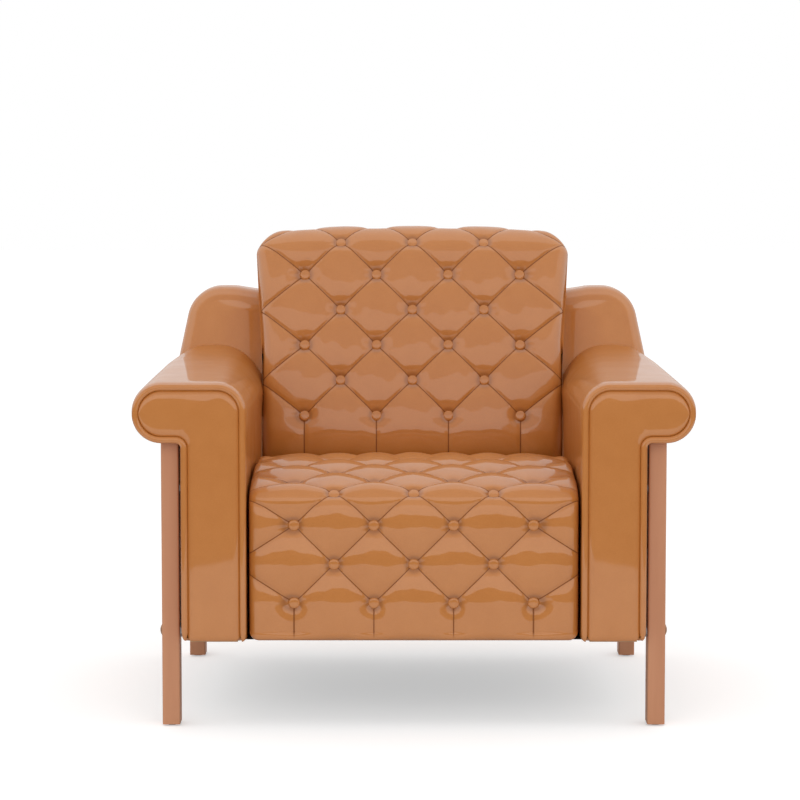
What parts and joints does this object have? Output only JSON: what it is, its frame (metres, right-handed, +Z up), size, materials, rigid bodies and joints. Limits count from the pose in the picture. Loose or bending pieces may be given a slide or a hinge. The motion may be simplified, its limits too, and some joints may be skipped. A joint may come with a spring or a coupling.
{
  "type": "tufted armchair",
  "caption": "Fixed lounge armchair with a diamond-tufted seat and raked back cushion between rolled arms with piped facings, carried on flat wooden posts outside the arms.",
  "frame": {"origin": "on the floor, at the centre of the chair's bounding box", "axes": "+Z up, the front of the chair faces -Y, +X to the right seen from the front"},
  "size_m": [0.92, 0.8284, 0.8021],
  "materials": {
    "faux_leather": "glossy",
    "leg_wood": "satin",
    "frame_wood": "matt",
    "foam": "matt",
    "webbing": "matt",
    "felt": "matt",
    "dust_cloth": "matt",
    "bolt_bronze": "satin",
    "steel": "satin",
    "plastic": "matt"
  },
  "bodies": {
    "root": {"back_bolts": "steel", "back_bottom_rail": "frame_wood", "back_buttons": "faux_leather", "back_cushion_cover": "faux_leather", "back_cushion_foam": "foam", "back_middle_rail": "frame_wood", "back_rear_panel": "faux_leather", "back_shell_cover": "faux_leather", "back_side_borders": "faux_leather", "back_top_rail": "frame_wood", "back_webbing": "webbing", "barrel_nuts": "steel", "dust_cover": "dust_cloth", "foot_glides": "plastic", "frame_dowels": "frame_wood", "front_left_leg": "leg_wood", "front_right_leg": "leg_wood", "insert_nuts": "steel", "left_arm_bottom_rail": "frame_wood", "left_arm_cover": "faux_leather", "left_arm_facing": "faux_leather", "left_arm_front_board": "frame_wood", "left_arm_front_post": "frame_wood", "left_arm_rear_board": "frame_wood", "left_arm_roll_foam": "foam", "left_arm_side_panels": "frame_wood", "left_arm_top_board": "frame_wood", "left_arm_welt": "faux_leather", "left_back_side_board": "frame_wood", "leg_bolts": "bolt_bronze", "leg_screws": "steel", "leg_spacers": "plastic", "rear_left_leg": "leg_wood", "rear_right_leg": "leg_wood", "right_arm_bottom_rail": "frame_wood", "right_arm_cover": "faux_leather", "right_arm_facing": "faux_leather", "right_arm_front_board": "frame_wood", "right_arm_front_post": "frame_wood", "right_arm_rear_board": "frame_wood", "right_arm_roll_foam": "foam", "right_arm_side_panels": "frame_wood", "right_arm_top_board": "frame_wood", "right_arm_welt": "faux_leather", "right_back_side_board": "frame_wood", "seat_bolts": "steel", "seat_buttons": "faux_leather", "seat_corner_blocks": "frame_wood", "seat_cover": "faux_leather", "seat_felt": "felt", "seat_foam": "foam", "seat_front_rail": "frame_wood", "seat_left_rail": "frame_wood", "seat_rear_rail": "frame_wood", "seat_right_rail": "frame_wood", "seat_side_borders": "faux_leather", "seat_webbing": "webbing"}
  },
  "joints": []
}
